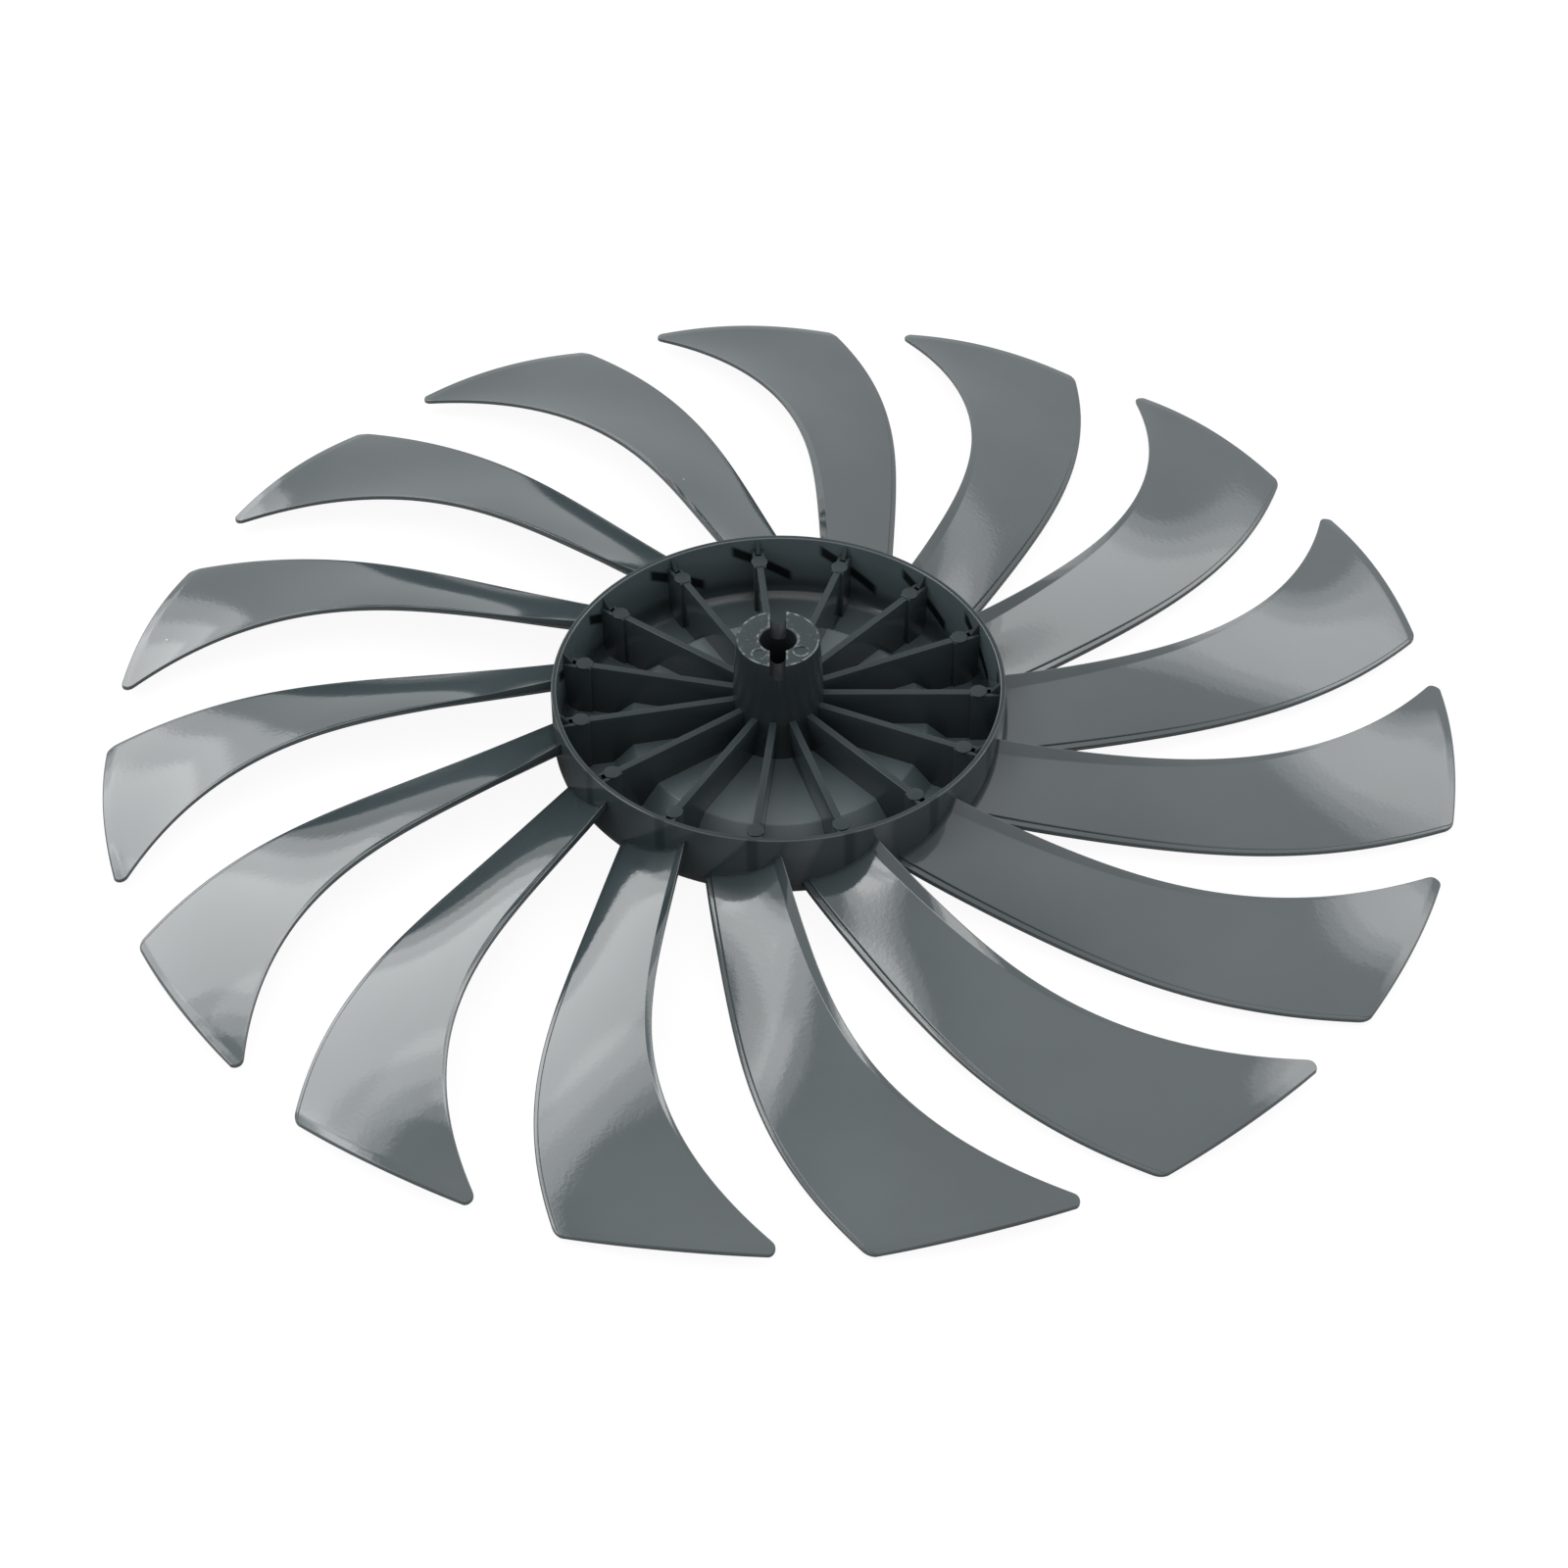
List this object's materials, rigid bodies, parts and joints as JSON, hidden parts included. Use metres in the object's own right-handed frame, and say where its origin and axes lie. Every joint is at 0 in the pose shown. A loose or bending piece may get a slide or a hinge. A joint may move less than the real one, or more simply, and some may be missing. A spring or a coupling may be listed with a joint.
{
  "type": "axial fan impeller",
  "caption": "One-piece moulded axial fan impeller: swept sickle blades round a ribbed hub cup with a slotted central shaft boss.",
  "frame": {"origin": "on the shaft axis, in the plane of the hub's front face", "axes": "+Z along the shaft axis, out of the open ribbed side of the hub, towards the motor; +X along one hub rib; the drive-pin slot runs along Y"},
  "size_m": [0.2999, 0.3, 0.0317],
  "materials": {
    "smoke_plastic": "semi-gloss smoke grey moulded plastic"
  },
  "bodies": {
    "root": {"impeller": "smoke_plastic"}
  },
  "joints": []
}
